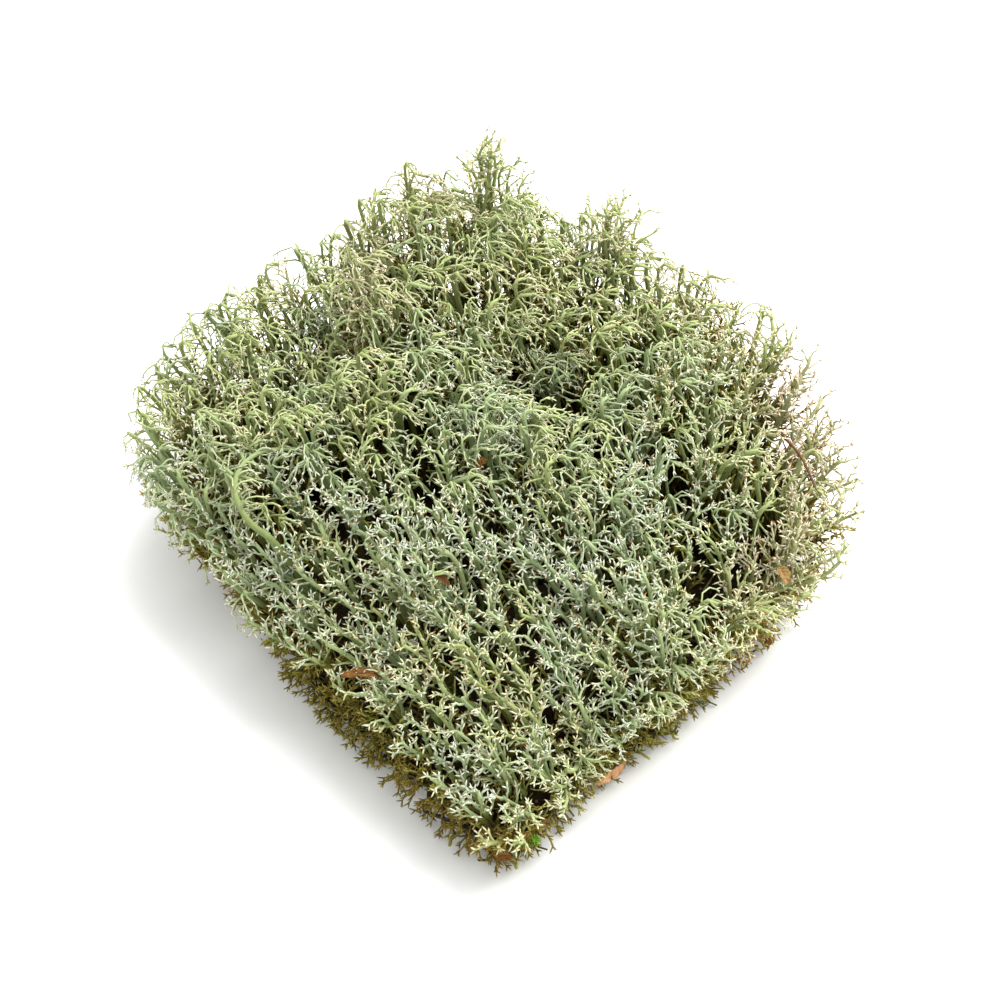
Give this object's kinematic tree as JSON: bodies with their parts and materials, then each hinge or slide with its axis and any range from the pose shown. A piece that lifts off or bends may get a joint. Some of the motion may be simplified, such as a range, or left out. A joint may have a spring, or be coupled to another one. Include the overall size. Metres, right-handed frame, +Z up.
{
  "type": "reindeer lichen clump",
  "caption": "A dry clump of grey-green reindeer lichen: a cushion of finely forked stems on a matted brown base, with scraps of forest litter caught in it.",
  "frame": {"origin": "middle of the clump's bounding box in plan, on the cut face that it rests on", "axes": "+Z up from the cut face; -Y towards the pointed corner, +Y towards the rounded back with the tall tufts"},
  "size_m": [0.157, 0.1598, 0.068],
  "materials": {
    "lichen": "dry, matt, pale grey-green",
    "dead_stems": "matted dead lichen stems, dark brown, matt",
    "dead_leaf": "dry brown leaf and scale scraps, matt",
    "ochre_leaf": "dry ochre leaf scrap, matt",
    "bark": "flaking tan bark",
    "pine_needle": "dry brown pine needle, slightly waxy",
    "rotten_wood": "soft dark rotten twig",
    "green_moss": "small living moss leaves"
  },
  "bodies": {
    "root": {"bark_scale": "bark", "bud_scale": "dead_leaf", "curled_stem": "lichen", "dead_base_mat": "dead_stems", "leaf_flake_front": "dead_leaf", "leaf_flake_left": "dead_leaf", "leaf_flake_middle": "dead_leaf", "moss_sprig": "green_moss", "ochre_leaf_flake": "ochre_leaf", "pine_needle": "pine_needle", "rotten_twig": "rotten_wood", "rust_flake": "dead_leaf", "tall_tuft_back": "lichen", "tall_tuft_back_right": "lichen", "tuft_01": "lichen", "tuft_02": "lichen", "tuft_03": "lichen", "tuft_04": "lichen", "tuft_05": "lichen", "tuft_06": "lichen", "tuft_07": "lichen", "tuft_08": "lichen", "tuft_09": "lichen", "tuft_10": "lichen", "tuft_11": "lichen", "tuft_12": "lichen", "tuft_13": "lichen", "tuft_14": "lichen", "tuft_15": "lichen", "tuft_16": "lichen", "tuft_17": "lichen", "tuft_18": "lichen", "tuft_19": "lichen", "tuft_20": "lichen", "tuft_21": "lichen", "tuft_22": "lichen", "tuft_23": "lichen", "tuft_24": "lichen", "tuft_25": "lichen", "tuft_26": "lichen", "tuft_27": "lichen", "tuft_28": "lichen", "tuft_29": "lichen", "tuft_30": "lichen", "tuft_31": "lichen", "tuft_32": "lichen", "tuft_33": "lichen", "tuft_34": "lichen", "tuft_35": "lichen", "tuft_36": "lichen", "tuft_37": "lichen", "tuft_38": "lichen", "tuft_39": "lichen", "tuft_40": "lichen", "tuft_41": "lichen", "tuft_42": "lichen", "tuft_43": "lichen", "tuft_44": "lichen", "tuft_45": "lichen"}
  },
  "joints": []
}
